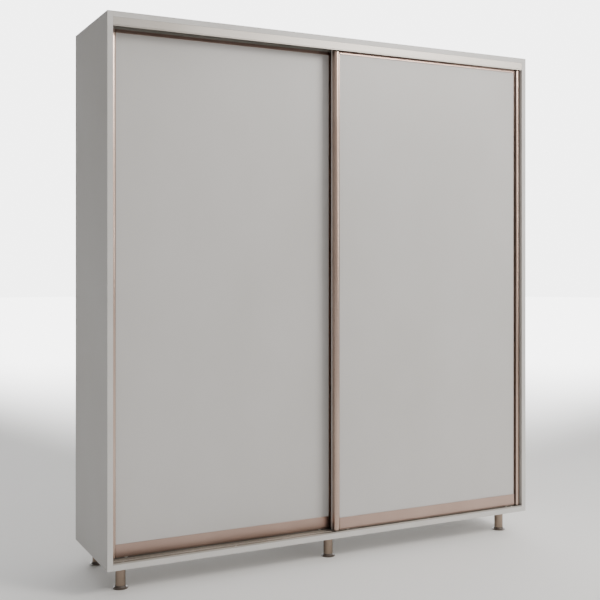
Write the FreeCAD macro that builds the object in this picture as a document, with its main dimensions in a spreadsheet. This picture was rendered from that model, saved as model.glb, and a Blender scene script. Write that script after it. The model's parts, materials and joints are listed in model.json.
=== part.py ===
"""Sliding door wardrobe: a board carcass on six levelling legs with two framed sliding doors.

Millimetres, +Z up, +X to the right, the front towards -Y. The origin is on the floor, in the
middle of the footprint. Each sub-part is an object of the document that is bound to the sheet of
sizes, and it is written to parts/ under its own label.
"""
import FreeCAD, Part
import math
import os
import re

import Sketcher
from FreeCAD import Placement, Rotation, Vector

DOC = FreeCAD.newDocument("SlidingDoorWardrobe")

# The driving dimensions. Each one is a cell of the sheet, under its own alias.
SIZES = {
    # carcass
    "overall_width": 2000,
    "overall_depth": 490,
    "carcass_height": 2120,
    "leg_height": 100,
    "board": 22,
    "back_board": 4,
    "back_reveal": 1,
    "divider_setback": 4,
    # shelves, clothes rail
    "shelf_board": 18,
    "shelf_side_gap": 0.5,
    "shelf_front_setback": 12,
    "hat_shelf_drop": 340,
    "pin_radius": 2.5,
    "pin_depth": 8,
    "pin_reach": 8,
    "pin_front_inset": 60,
    "pin_back_inset": 50,
    "rail_radius": 12.5,
    "rail_wall": 1.5,
    "rail_drop": 60,
    "socket_radius": 24,
    "socket_flange": 4,
    "socket_cup": 14,
    "socket_wall": 2.7,
    "socket_screw_radius": 19.5,
    # cam fittings
    "cam_radius": 7.3,
    "cam_depth": 12.5,
    "cam_setback": 24,
    "cam_inset": 60,
    "bolt_radius": 3,
    "bolt_depth": 11,
    # clearances
    "seat_gap": 0.3,
    "fit_gap": 0.1,
    "running_gap": 0.05,
    "overcut": 1,
    # tracks
    "track_setback": 1,
    "track_end_gap": 0.5,
    "track_wall": 1.6,
    "lane_setback": 29,
    "lane_pitch": 46,
    "rear_lane_margin": 25,
    "top_web": 2,
    "fascia_height": 34,
    "fascia_wall": 2,
    "bead_height": 4,
    "bead_proud": 0.7,
    "bead_groove": 0.8,
    "bead_line": 1,
    "guide_channel": 25,
    "guide_rib": 2,
    "guide_rib_height": 16,
    "bottom_web": 1.5,
    "lip_height": 6,
    "running_rib": 3,
    "running_rib_height": 5,
    "rib_screw_offset": 9,
    "screw_wall_margin": 1,
    "stop_length": 20,
    "stop_height": 12,
    "stop_margin": 1,
    # doors
    "door_gap": 2,
    "door_overlap": 28,
    "travel_margin": 2,
    "frame_lift": 7,
    "head_room": 20,
    "frame_depth": 34,
    "frame_wall": 1.6,
    "stile_width": 28,
    "slot_floor": 16,
    "pull_lip": 22,
    "lip_crest": 12.5,
    "lip_radius": 20,
    "panel_board": 10,
    "rail_depth": 18,
    "bottom_rail": 50,
    "bottom_rail_slot": 14.4,
    "top_rail": 24,
    "top_rail_slot": 10,
    "rail_lip": 3,
    "boss_radius": 4,
    "boss_sink": 0.3,
    "frame_screw_reach": 16,
    "brush_clearance": 0.3,
    "brush_width": 6,
    "brush_back": 3,
    # rollers and guides
    "wheel_inset": 70,
    "roller_radius": 15,
    "roller_tread": 12,
    "roller_width": 8,
    "roller_hub_wall": 3.5,
    "roller_rim_wall": 1.5,
    "roller_recess": 0.8,
    "roller_slope": 0.6,
    "tread_clearance": 0.5,
    "axle_radius": 2.5,
    "bracket_length": 60,
    "bracket_height": 22,
    "bracket_lift": 2,
    "bracket_window": 34,
    "window_clearance": 0.5,
    "guide_radius": 12,
    "guide_width": 8,
    "guide_hub_wall": 3,
    "guide_rim_wall": 2.6,
    "guide_recess": 0.6,
    "guide_slope": 0.5,
    "guide_plate": 2,
    "guide_collar": 2.2,
    "guide_axle_radius": 2,
    "guide_axle_head": 3.6,
    "guide_axle_crown": 1,
    "guide_crown_overlap": 0.5,
    # screws
    "screw_head_radius": 3.5,
    "screw_head": 1.6,
    "screw_radius": 1.5,
    "screw_reach": 14,
    "sunk_head": 2,
    "sunk_depth": 0.1,
    "track_screw_reach": 12,
    "frame_screw_head": 2.8,
    "frame_screw_radius": 1.8,
    "leg_screw_head_radius": 4.5,
    "leg_screw_head": 2.5,
    "leg_screw_radius": 2.3,
    "leg_screw_reach": 16,
    "screw_edge_inset": 90,
    # legs
    "leg_side_inset": 80,
    "leg_front_inset": 100,
    "leg_back_inset": 50,
    "tube_radius": 20,
    "tube_wall": 1.5,
    "leg_plate_radius": 37.5,
    "leg_plate": 2.5,
    "leg_bolt_circle": 29,
    "insert_height": 12,
    "stud_radius": 5,
    "stud_length": 40,
    "foot_radius": 30,
    "foot_height": 12,
    "foot_rim": 3,
    "foot_flare": 15,
    "foot_chamfer": 0.5,
}

# Places and lengths that follow from the sizes.
FORMULAS = {
    "front": "0 - overall_depth / 2",
    "back": "overall_depth / 2",
    "carcass_back": "back - back_board",
    "carcass_depth": "carcass_back - front",
    "half_width": "overall_width / 2",
    "inner_half": "half_width - board",
    "carcass_top": "leg_height + carcass_height",
    "floor_top": "leg_height + board",
    "ceiling": "carcass_top - board",
    "track_rear": "lane_setback + lane_pitch + rear_lane_margin",
    "divider_front": "front + track_rear + divider_setback",
    "divider_half": "board / 2",
    "bay_width": "inner_half - divider_half",
    "hat_shelf_z": "ceiling - hat_shelf_drop",
    "shelf_front": "divider_front + shelf_front_setback",
    "shelf_depth": "carcass_back - shelf_back_gap - shelf_front",
    "shelf_back_gap": "shelf_side_gap",
    "sunk_seat": "back - sunk_depth - sunk_head",
    "front_lane": "front + lane_setback",
    "rear_lane": "front_lane + lane_pitch",
    "door_width": "(2 * inner_half - 2 * door_gap + door_overlap) / 2",
    "door_travel": "2 * inner_half - 2 * door_gap - door_width - travel_margin",
    "door_foot": "floor_top + frame_lift",
    "door_head": "ceiling - head_room",
    "door_height": "door_head - door_foot",
    "frame_half": "frame_depth / 2",
    "slot_half": "panel_board / 2 + seat_gap",
    "rail_half": "rail_depth / 2",
    "rail_length": "door_width - 2 * stile_width",
    "bottom_web_top": "bottom_rail - bottom_rail_slot",
    "bottom_screw_z": "door_foot + bottom_web_top - frame_wall - boss_radius + boss_sink",
    "top_screw_z": "door_head - top_rail + top_rail_slot + frame_wall + boss_radius - boss_sink",
    "roller_z": "floor_top + running_rib_height + seat_gap + roller_tread",
    "guide_z": "door_head + guide_plate + guide_collar + seat_gap",
    "stop_near": "inner_half - door_gap - wheel_inset + guide_radius + stop_margin",
    "leg_x": "half_width - leg_side_inset",
    "front_leg_y": "front + leg_front_inset",
    "rear_leg_y": "back - leg_back_inset",
    "leg_foot": "foot_height + seat_gap",
}

DIRECTIONS = {
    "+x": Vector(1, 0, 0),
    "-x": Vector(-1, 0, 0),
    "+y": Vector(0, 1, 0),
    "-y": Vector(0, -1, 0),
    "+z": Vector(0, 0, 1),
    "-z": Vector(0, 0, -1),
}
OPPOSITE = {"+x": "-x", "-x": "+x", "+y": "-y", "-y": "+y", "+z": "-z", "-z": "+z"}

# Each door: where its left edge stands, and the lane that it runs in.
DOORS = {
    "left_door": ("door_gap - inner_half", "rear_lane"),
    "right_door": ("inner_half - door_gap - door_width", "front_lane"),
}

SHEET = DOC.addObject("Spreadsheet::Sheet", "Sizes")
BLANKS = {}
HOLES = {}
NODES = []


# ---------------------------------------------------------------- sizes and formulas

def fill_sheet():
    """Write every driving dimension into the sheet, with its alias."""
    for row, (alias, size) in enumerate(SIZES.items(), start=1):
        SHEET.set(f"A{row}", alias.replace("_", " "))
        SHEET.set(f"B{row}", str(size))
        SHEET.setAlias(f"B{row}", alias)
    DOC.recompute()


def bound(formula):
    """The formula with each size's name pointing at its cell of the sheet."""
    def cell(match):
        word = match.group()
        if word in FORMULAS:
            return "(" + bound(FORMULAS[word]) + ")"
        return "Sizes." + word if word in SIZES else word
    return re.sub(r"[a-z][a-z_]*", cell, formula)


def value(formula):
    """What the formula comes to with the sheet's present numbers."""
    return float(SHEET.evalExpression(bound(formula)))


def bind(thing, properties):
    """Bind each named property of the object to its formula."""
    for name, formula in properties.items():
        thing.setExpression(name, bound(formula))


def place(thing, corner):
    """Bind the object's position to three formulas."""
    bind(thing, {f"Placement.Base.{axis}": formula for axis, formula in zip("xyz", corner)})
    return thing


def shift(point, direction, distance):
    """The point moved along one of the six directions by a formula."""
    sign, axis = direction
    moved = list(point)
    moved["xyz".index(axis)] += f" {sign} ({distance})"
    return tuple(moved)


# ---------------------------------------------------------------- solids

def block(name, corner, size):
    """A rectangular block from its low corner."""
    thing = DOC.addObject("Part::Box", name)
    bind(thing, dict(zip(("Length", "Width", "Height"), size)))
    return place(thing, corner)


def rod(name, base, direction, radius, length):
    """A round rod or the tool of a round hole, from the middle of its base."""
    thing = DOC.addObject("Part::Cylinder", name)
    thing.Placement = Placement(Vector(), Rotation(DIRECTIONS["+z"], DIRECTIONS[direction]))
    bind(thing, {"Radius": radius, "Height": length})
    return place(thing, base)


def fused(name, pieces):
    """Several solids made one."""
    thing = DOC.addObject("Part::MultiFuse", name)
    thing.Shapes = pieces
    return thing


def cut(name, blank, tools):
    """The blank with its tools cut out of it."""
    thing = DOC.addObject("Part::Cut", name)
    thing.Base = blank
    thing.Tool = tools[0] if len(tools) == 1 else fused(name + "_tools", tools)
    return thing


def grouped(name, pieces):
    """Separate solids that share one node."""
    thing = DOC.addObject("Part::Compound", name)
    thing.Links = pieces
    NODES.append(thing)
    return thing


def node(thing):
    """Mark the object as a sub-part of the wardrobe."""
    NODES.append(thing)
    return thing


def blank(name, thing):
    """Keep the uncut piece until all of its holes are known."""
    BLANKS[name] = thing


def hole(boards, base, direction, radius, length):
    """One round hole through each of the named boards."""
    count = sum(len(tools) for tools in HOLES.values())
    tool = rod(f"hole_{count}", base, direction, radius, length)
    for name in boards:
        HOLES.setdefault(name, []).append(tool)


def countersink(board, face_point, direction):
    """A conical recess in the board for a countersunk head, from the face inwards."""
    tool = DOC.addObject("Part::Cone", "countersink")
    tool.Placement = Placement(Vector(), Rotation(DIRECTIONS["+z"], DIRECTIONS[direction]))
    bind(tool, {"Radius1": "screw_head_radius + seat_gap", "Radius2": "screw_radius + fit_gap",
                "Height": "sunk_depth + sunk_head"})
    HOLES.setdefault(board, []).append(place(tool, face_point))


def finish_blanks():
    """Cut the holes into the pieces that have some; the others are complete as they are."""
    for name, thing in BLANKS.items():
        if name in HOLES:
            node(cut(name, thing, HOLES[name]))
        else:
            thing.Label = name
            node(thing)


def screws(name, spots, head_radius, head, radius, reach, countersunk=False):
    """Pan head or countersunk screws. A spot is where head and shank meet and the way it points."""
    shank = Part.makeCylinder(value(radius), value(reach), Vector(), DIRECTIONS["-z"])
    if countersunk:
        crown = Part.makeCone(value(radius), value(head_radius), value(head))
    else:
        crown = Part.makeCylinder(value(head_radius), value(head))
    screw = crown.fuse(shank)
    copies = []
    for point, direction in spots:
        copy = screw.copy()
        turn = Rotation(DIRECTIONS["-z"], DIRECTIONS[direction])
        copy.Placement = Placement(Vector(*(value(formula) for formula in point)), turn)
        copies.append(copy)
    thing = DOC.addObject("Part::Feature", name)
    thing.Shape = Part.Compound(copies)
    thing.Placement = Placement()
    return node(thing)


# ---------------------------------------------------------------- sketched sections

def origin_feature(body, role):
    """The body's own origin plane or axis with that role."""
    return next(item for item in body.Origin.OriginFeatures if item.Role == role)


def arc_between(start, end, radius, side):
    """The minor arc from start to end that bulges to the left (+1) or to the right (-1)."""
    chord = end - start
    rise = radius - math.sqrt(radius ** 2 - (chord.Length / 2) ** 2)
    left = Vector(-chord.y, chord.x, 0).normalize()
    return Part.Arc(start, (start + end) / 2 + left * rise * side, end)


def draw_outline(sketch, corners):
    """A closed outline. A corner is x, y and, where an arc leaves it, a radius and a side."""
    points = [Vector(value(corner[0]), value(corner[1]), 0) for corner in corners]
    ends = []
    for index, corner in enumerate(corners):
        start = points[index]
        end = points[(index + 1) % len(points)]
        if len(corner) == 2:
            edge = sketch.addGeometry(Part.LineSegment(start, end), False)
        else:
            arc = arc_between(start, end, value(corner[2]), corner[3])
            edge = sketch.addGeometry(arc, False)
            tie = sketch.addConstraint(Sketcher.Constraint("Radius", edge, value(corner[2])))
            sketch.setExpression(f"Constraints[{tie}]", bound(corner[2]))
        first = 1 if sketch.getPoint(edge, 1).isEqual(start, 1e-4) else 2
        ends.append((edge, first, 3 - first))
    for index, corner in enumerate(corners):
        edge, first, _ = ends[index]
        before, _, last = ends[index - 1]
        sketch.addConstraint(Sketcher.Constraint("Coincident", before, last, edge, first))
        for kind, formula in zip(("DistanceX", "DistanceY"), corner):
            size = value(formula)
            tie = sketch.addConstraint(Sketcher.Constraint(kind, -1, 1, edge, first, size))
            sketch.setExpression(f"Constraints[{tie}]", bound(formula))


def draw_circle(sketch, x, y, radius):
    """A circle whose centre and radius are bound to formulas."""
    centre = Vector(value(x), value(y), 0)
    circle = Part.Circle(centre, DIRECTIONS["+z"], value(radius))
    edge = sketch.addGeometry(circle, False)
    for kind, formula in (("DistanceX", x), ("DistanceY", y)):
        tie = sketch.addConstraint(Sketcher.Constraint(kind, -1, 1, edge, 3, value(formula)))
        sketch.setExpression(f"Constraints[{tie}]", bound(formula))
    tie = sketch.addConstraint(Sketcher.Constraint("Radius", edge, value(radius)))
    sketch.setExpression(f"Constraints[{tie}]", bound(radius))


def new_sketch(body, role, name):
    """A sketch on one of the body's own origin planes."""
    sketch = body.newObject("Sketcher::SketchObject", name)
    sketch.AttachmentSupport = [(origin_feature(body, role), "")]
    sketch.MapMode = "FlatFace"
    return sketch


def padded(name, role, outlines, length):
    """A body made of one section, padded square to its plane."""
    body = DOC.addObject("PartDesign::Body", name)
    sketch = new_sketch(body, role, name + "_section")
    for corners in outlines:
        draw_outline(sketch, corners)
    pad = body.newObject("PartDesign::Pad", name + "_pad")
    pad.Profile = sketch
    pad.setExpression("Length", bound(length))
    return body


def turned(name, role, corners):
    """A body made of one half section, turned about the sketch's vertical axis."""
    body = DOC.addObject("PartDesign::Body", name)
    sketch = new_sketch(body, role, name + "_section")
    draw_outline(sketch, corners)
    revolution = body.newObject("PartDesign::Revolution", name + "_turn")
    revolution.Profile = sketch
    revolution.ReferenceAxis = (sketch, ["V_Axis"])
    revolution.Angle = 360
    return body


# ---------------------------------------------------------------- carcass

def carcass_boards():
    """Two sides, top, bottom, divider and the two thin back panels."""
    side = ("board", "carcass_depth", "carcass_height")
    deck = ("2 * inner_half", "carcass_depth", "board")
    blank("left_side_panel", block("left_side_blank", ("0 - half_width", "front", "leg_height"), side))
    blank("right_side_panel", block("right_side_blank", ("inner_half", "front", "leg_height"), side))
    blank("top_panel", block("top_blank", ("0 - inner_half", "front", "ceiling"), deck))
    blank("bottom_panel", block("bottom_blank", ("0 - inner_half", "front", "leg_height"), deck))
    divider = ("board", "carcass_back - divider_front", "ceiling - floor_top")
    corner = ("0 - divider_half", "divider_front", "floor_top")
    blank("centre_divider", block("divider_blank", corner, divider))
    back = ("half_width - back_reveal - back_reveal / 2", "back_board", "carcass_height - 2 * back_reveal")
    halves = (("back_panel_left", "back_reveal - half_width"),
              ("back_panel_right", "back_reveal / 2"))
    for name, x in halves:
        corner = (x, "carcass_back", "leg_height + back_reveal")
        blank(name, block(name + "_blank", corner, back))


def back_screws():
    """Rows of countersunk screws that hold the back panels to the boards."""
    rows = 6
    columns = 3
    spots = []
    rise = "(carcass_height - 2 * screw_edge_inset)"
    run = "(half_width - 2 * screw_edge_inset)"
    for sign, side in (("0 -", "left"), ("", "right")):
        panel = "back_panel_" + side
        for row in range(rows):
            z = f"leg_height + screw_edge_inset + {rise} * {row} / {rows - 1}"
            edge = f"{sign} (inner_half + divider_half)"
            spots.append(((edge, "back", z), (panel, side + "_side_panel")))
            spots.append(((f"{sign} divider_half / 2", "back", z), (panel, "centre_divider")))
        for column in range(columns):
            x = f"{sign} (screw_edge_inset + {run} * {column} / {columns - 1})"
            for z, deck in (("ceiling + board / 2", "top_panel"),
                            ("leg_height + board / 2", "bottom_panel")):
                spots.append(((x, "back", z), (panel, deck)))
    for point, boards in spots:
        hole(boards, point, "-y", "screw_radius + fit_gap", "back_board + screw_reach + seat_gap")
        countersink(boards[0], point, "-y")
    seats = [((x, "sunk_seat", z), "-y") for (x, _, z), _ in spots]
    screws("back_panel_screws", seats, "screw_head_radius", "sunk_head", "screw_radius",
           "back_board + screw_reach - sunk_head - sunk_depth", countersunk=True)


def cam_joint(index, cam_board, bolt_board, corner, inward, face):
    """A cam let into one board pulls on a bolt in the other. The corner is in the joint's plane."""
    middle = shift(corner, inward, "cam_setback")
    mouth = shift(middle, OPPOSITE[face], "board / 2")
    root = shift(corner, OPPOSITE[inward], "bolt_depth")
    reach = "bolt_depth + cam_setback - cam_radius - seat_gap"
    hole([cam_board], mouth, face, "cam_radius + fit_gap", "cam_depth + fit_gap")
    bore_root = shift(root, OPPOSITE[inward], "fit_gap")
    hole([cam_board, bolt_board], bore_root, inward, "bolt_radius + fit_gap",
         reach + " + fit_gap + seat_gap")
    cam = rod(f"cam_{index}", mouth, face, "cam_radius", "cam_depth")
    bolt = rod(f"cam_bolt_{index}", root, inward, "bolt_radius", reach)
    return [cam, bolt]


def cam_fittings():
    """Twelve cam joints: sides to top and bottom, divider to top and bottom."""
    decks = (("top_panel", "ceiling + board / 2", "+z"), ("bottom_panel", "leg_height + board / 2", "-z"))
    pieces = []
    for y in ("divider_front + cam_inset", "carcass_back - cam_inset"):
        for deck, z, face in decks:
            for side, x, inward in (("left", "0 - inner_half", "+x"), ("right", "inner_half", "-x")):
                pieces += cam_joint(len(pieces), deck, side + "_side_panel", (x, y, z), inward, face)
        for deck, z, inward in (("top_panel", "ceiling", "-z"), ("bottom_panel", "floor_top", "+z")):
            pieces += cam_joint(len(pieces), "centre_divider", deck, ("0", y, z), inward, "-x")
    grouped("cam_fittings", pieces)


def shelves():
    """Hat shelves in both bays and three more in the right one, all of them on shelf pins."""
    levels = {
        "hat_shelf_left": ("left", "hat_shelf_z"),
        "hat_shelf_right": ("right", "hat_shelf_z"),
        "lower_shelf": ("right", "floor_top + (hat_shelf_z - floor_top) / 4"),
        "middle_shelf": ("right", "floor_top + (hat_shelf_z - floor_top) / 2"),
        "upper_shelf": ("right", "floor_top + (hat_shelf_z - floor_top) * 3 / 4"),
    }
    low_ends = {"left": "0 - inner_half", "right": "divider_half"}
    walls = {"left": ("left_side_panel", "centre_divider"), "right": ("centre_divider", "right_side_panel")}
    pins = []
    for name, (bay, z) in levels.items():
        low = low_ends[bay]
        corner = (f"{low} + shelf_side_gap", "shelf_front", z)
        size = ("bay_width - 2 * shelf_side_gap", "shelf_depth", "shelf_board")
        blank(name, block(name + "_blank", corner, size))
        axis_z = f"{z} - pin_radius - fit_gap"
        for x, inward, wall in ((low, "+x", walls[bay][0]), (f"{low} + bay_width", "-x", walls[bay][1])):
            for y in ("shelf_front + pin_front_inset", "carcass_back - pin_back_inset"):
                root = shift((x, y, axis_z), OPPOSITE[inward], "pin_depth")
                bore_root = shift(root, OPPOSITE[inward], "fit_gap")
                hole([wall], bore_root, inward, "pin_radius + fit_gap", "pin_depth + 2 * fit_gap")
                pins.append(rod(f"pin_{len(pins)}", root, inward, "pin_radius", "pin_depth + pin_reach"))
    grouped("shelf_pins", pins)


def hanging_rail():
    """A tube across the left bay, in a flanged socket at each end."""
    y = "(shelf_front + carcass_back) / 2"
    z = "hat_shelf_z - rail_drop"
    ends = (("0 - inner_half", "+x", "left_side_panel"), ("0 - divider_half", "-x", "centre_divider"))
    sockets = []
    for x, inward, wall in ends:
        tag = wall.split("_")[0]
        flange = rod("socket_flange_" + tag, (x, y, z), inward, "socket_radius", "socket_flange")
        cup_radius = "rail_radius + seat_gap + socket_wall"
        cup = rod("socket_cup_" + tag, (x, y, z), inward, cup_radius, "socket_flange + socket_cup")
        tools = [rod("socket_bore_" + tag, shift((x, y, z), inward, "socket_flange"), inward,
                     "rail_radius + seat_gap", "socket_cup + overcut")]
        for sign in ("+", "-"):
            point = (x, y, f"{z} {sign} socket_screw_radius")
            way = OPPOSITE[inward]
            head = shift(point, inward, "socket_flange")
            tool_name = f"socket_hole_{tag}_{len(tools)}"
            tools.append(rod(tool_name, head, way, "frame_screw_radius + fit_gap",
                             "socket_flange + overcut"))
            hole([wall], point, way, "frame_screw_radius + fit_gap", "screw_reach + fit_gap")
            shank = rod(f"socket_shank_{tag}_{len(tools)}", head, way, "frame_screw_radius",
                        "socket_flange + screw_reach")
            crown = rod(f"socket_head_{tag}_{len(tools)}", head, inward, "screw_head_radius", "screw_head")
            sockets.append(fused(f"socket_screw_{tag}_{len(tools)}", [shank, crown]))
        sockets.append(cut("socket_" + tag, fused("socket_blank_" + tag, [flange, cup]), tools))
    grouped("rail_sockets", sockets)
    start = shift(("0 - inner_half", y, z), "+x", "socket_flange + seat_gap")
    length = "bay_width - 2 * (socket_flange + seat_gap)"
    tube = rod("clothes_rail_blank", start, "+x", "rail_radius", length)
    bore = rod("clothes_rail_bore", start, "+x", "rail_radius - rail_wall", length)
    node(cut("clothes_rail", tube, [bore]))


# ---------------------------------------------------------------- tracks

def comb(middle, half, height, base, sign):
    """The four corners of a rib on a web, walked in the direction of the sign."""
    near = f"{middle} - ({sign} * ({half}))"
    far = f"{middle} + ({sign} * ({half}))"
    return [(near, base), (near, height), (far, height), (far, base)]


def top_track():
    """Double head track: a fascia with a bead, guide channels for both lanes, a rear wall."""
    under = "0 - top_web"
    low = "0 - fascia_height"
    rib_low = "0 - top_web - guide_rib_height"
    rear = "track_rear"
    corners = [("track_setback", "0"), (rear, "0"), (rear, low),
               (f"{rear} - top_web", low), (f"{rear} - top_web", under)]
    rib_offset = "(guide_channel + guide_rib) / 2"
    for lane in ("lane_setback + lane_pitch", "lane_setback"):
        for sign in ("+", "-"):
            corners += comb(f"{lane} {sign} {rib_offset}", "guide_rib / 2", rib_low, under, "(0 - 1)")
        if lane != "lane_setback":
            between = "lane_setback + lane_pitch / 2"
            corners += comb(between, "track_wall / 2", low, under, "(0 - 1)")
    inner = "track_setback + fascia_wall"
    bead = "track_setback - bead_proud"
    groove = "track_setback + bead_groove"
    corners += [(inner, under), (inner, low), ("track_setback", low),
                (bead, f"{low} + bead_proud"), (bead, f"{low} + bead_height - bead_proud"),
                ("track_setback", f"{low} + bead_height"), (groove, f"{low} + bead_height"),
                (groove, f"{low} + bead_height + bead_line"),
                ("track_setback", f"{low} + bead_height + bead_line")]
    body = padded("top_track_body", "YZ_Plane", [corners], "2 * inner_half - 2 * track_end_gap")
    blank("top_track", place(body, ("track_end_gap - inner_half", "front", "ceiling")))


def bottom_track():
    """Double floor track: a web, three lips and a rounded running rib in each lane."""
    rear = "track_rear"
    corners = [("track_setback", "0"), ("track_setback", "lip_height"),
               ("track_setback + track_wall", "lip_height"), ("track_setback + track_wall", "bottom_web")]
    rib_side = "running_rib_height - running_rib / 2"
    for lane in ("lane_setback", "lane_setback + lane_pitch"):
        near = f"{lane} - running_rib / 2"
        far = f"{lane} + running_rib / 2"
        corners += [(near, "bottom_web"), (near, rib_side, "running_rib / 2", 1),
                    (lane, "running_rib_height", "running_rib / 2", 1), (far, rib_side), (far, "bottom_web")]
        if lane == "lane_setback":
            between = "lane_setback + lane_pitch / 2"
            corners += comb(between, "track_wall / 2", "lip_height", "bottom_web", "1")
    corners += [(f"{rear} - track_wall", "bottom_web"), (f"{rear} - track_wall", "lip_height"),
                (rear, "lip_height"), (rear, "0")]
    body = padded("bottom_track_body", "YZ_Plane", [corners], "2 * inner_half - 2 * track_end_gap")
    blank("bottom_track", place(body, ("track_end_gap - inner_half", "front", "floor_top")))


def track_fixings():
    """Screws through both tracks into the boards, and a stop at each end of each lane."""
    count = 5
    spots = []
    for index in range(count):
        x = f"(2 * {index} / {count - 1} - 1) * (inner_half - screw_edge_inset / 2)"
        outside = "(guide_channel / 2 + guide_rib + screw_head_radius + screw_wall_margin)"
        for y in (f"front_lane - {outside}", f"rear_lane + {outside}"):
            spots.append(((x, y, "ceiling - top_web"), "+z", ("top_track", "top_panel")))
        for y in ("front_lane - rib_screw_offset", "rear_lane + rib_screw_offset"):
            spots.append(((x, y, "floor_top + bottom_web"), "-z", ("bottom_track", "bottom_panel")))
    for point, way, boards in spots:
        hole(boards, point, way, "screw_radius + fit_gap", "track_screw_reach + fit_gap")
    ways = [(point, way) for point, way, _ in spots]
    screws("track_screws", ways, "screw_head_radius", "screw_head", "screw_radius", "track_screw_reach")
    stops = []
    for lane in ("front_lane", "rear_lane"):
        for tag, x in (("left", "0 - stop_near - stop_length"), ("right", "stop_near")):
            corner = (x, f"{lane} - guide_channel / 2 + seat_gap", "ceiling - top_web - stop_height")
            size = ("stop_length", "guide_channel - 2 * seat_gap", "stop_height")
            stops.append(block(f"{lane}_stop_{tag}", corner, size))
    grouped("track_stops", stops)


# ---------------------------------------------------------------- doors

def mirrored(corners, side):
    """The same outline for the other hand of a door."""
    if side > 0:
        return corners
    return [(f"0 - ({corner[0]})", corner[1], *corner[2:3], *(-turn for turn in corner[3:]))
            for corner in corners]


def stile(name, edge, lane, side):
    """Pull stile: a curved lip over a finger groove, the panel's slot and two chambers."""
    centre = "lip_radius - frame_half"
    inner = "lip_radius - frame_wall"
    lip_share = "(pull_lip - lip_crest) / lip_radius"
    outer_start = f"{centre} - sqrt(lip_radius ^ 2 - lip_crest ^ 2)"
    outer_end = f"{centre} - lip_radius * sqrt(1 - ({lip_share}) ^ 2)"
    inner_start = f"{centre} - sqrt(({inner}) ^ 2 - (lip_crest - frame_wall) ^ 2)"
    inner_end = f"{centre} - ({inner}) * sqrt(1 - ({lip_share}) ^ 2)"
    slot_front = "0 - slot_half"
    groove_back = "0 - slot_half - frame_wall"
    outline = [
        ("0", "frame_half"), ("stile_width", "frame_half"), ("stile_width", "slot_half"),
        ("slot_floor", "slot_half"), ("slot_floor", slot_front), ("stile_width", slot_front),
        ("stile_width", groove_back), ("frame_wall", groove_back),
        ("frame_wall", inner_start, inner, -1),
        (f"lip_crest + ({inner}) * {lip_share}", inner_end),
        ("pull_lip", outer_end, "lip_radius", 1),
        ("0", outer_start),
    ]
    middle_chamber = [
        ("frame_wall", slot_front), ("slot_floor - frame_wall", slot_front),
        ("slot_floor - frame_wall", "slot_half"), ("frame_wall", "slot_half"),
    ]
    rear_near = "slot_half + frame_wall"
    rear_far = "frame_half - frame_wall"
    rear_chamber = [
        ("frame_wall", rear_near), ("stile_width - frame_wall", rear_near),
        ("stile_width - frame_wall", rear_far), ("frame_wall", rear_far),
    ]
    outlines = [mirrored(corners, side) for corners in (outline, middle_chamber, rear_chamber)]
    body = padded(name + "_body", "XY_Plane", outlines, "door_height")
    blank(name, place(body, (edge, lane, "door_foot")))


def rail(name, start, lane, low, outlines, boss_z):
    """A door rail: its section and a round boss for the frame screws, both full length."""
    body = padded(name + "_body", "YZ_Plane", outlines, "rail_length")
    boss_sketch = new_sketch(body, "YZ_Plane", name + "_boss_section")
    draw_circle(boss_sketch, "0", boss_z, "boss_radius")
    boss = body.newObject("PartDesign::Pad", name + "_boss")
    boss.Profile = boss_sketch
    boss.setExpression("Length", bound("rail_length"))
    place(body, (f"{start} + stile_width", lane, low))
    bore = "frame_screw_radius + fit_gap"
    centre = (f"{start} + stile_width", lane, f"{low} + {boss_z}")
    hole([name], centre, "+x", bore, "rail_length")
    blank(name, body)


def door_rails(door, start, lane):
    """The bottom rail straddles its rollers; the top rail is a closed box. Both hold the panel."""
    side = "rail_half - frame_wall"
    web = "bottom_web_top"
    grip = "bottom_rail - rail_lip"
    bottom = []
    for sign, order in (("0 -", 1), ("", -1)):
        half = [
            (f"{sign} ({side})", "0"), (f"{sign} rail_half", "0"), (f"{sign} rail_half", "bottom_rail"),
            (f"{sign} slot_half", "bottom_rail"), (f"{sign} slot_half", grip),
            (f"{sign} ({side})", grip), (f"{sign} ({side})", web),
        ]
        bottom += half[::order]
    bottom += [(side, f"{web} - frame_wall"), (f"0 - ({side})", f"{web} - frame_wall")]
    rail(door + "_bottom_rail", start, lane, "door_foot", [bottom],
         f"({web} - frame_wall - boss_radius + boss_sink)")
    top = [
        ("0 - rail_half", "0"), ("0 - rail_half", "top_rail"), ("rail_half", "top_rail"), ("rail_half", "0"),
        ("slot_half", "0"), ("slot_half", "rail_lip"), (side, "rail_lip"), (side, "top_rail_slot"),
        (f"0 - ({side})", "top_rail_slot"), (f"0 - ({side})", "rail_lip"),
        ("0 - slot_half", "rail_lip"), ("0 - slot_half", "0"),
    ]
    low = "top_rail_slot + frame_wall"
    high = "top_rail - frame_wall"
    chamber = [(f"0 - ({side})", low), (side, low), (side, high), (f"0 - ({side})", high)]
    rail(door + "_top_rail", start, lane, "(door_head - top_rail)", [top, chamber],
         f"({low} + boss_radius - boss_sink)")


def door_panel(door, start, lane):
    """The board that fills the frame, with a small gap all round in its slots."""
    low = "door_foot + bottom_web_top + seat_gap"
    high = "door_head - top_rail + top_rail_slot - seat_gap"
    corner = (f"{start} + slot_floor + seat_gap", f"{lane} - panel_board / 2", low)
    size = ("door_width - 2 * (slot_floor + seat_gap)", "panel_board", f"{high} - ({low})")
    blank(door + "_panel", block(door + "_panel_blank", corner, size))


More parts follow.
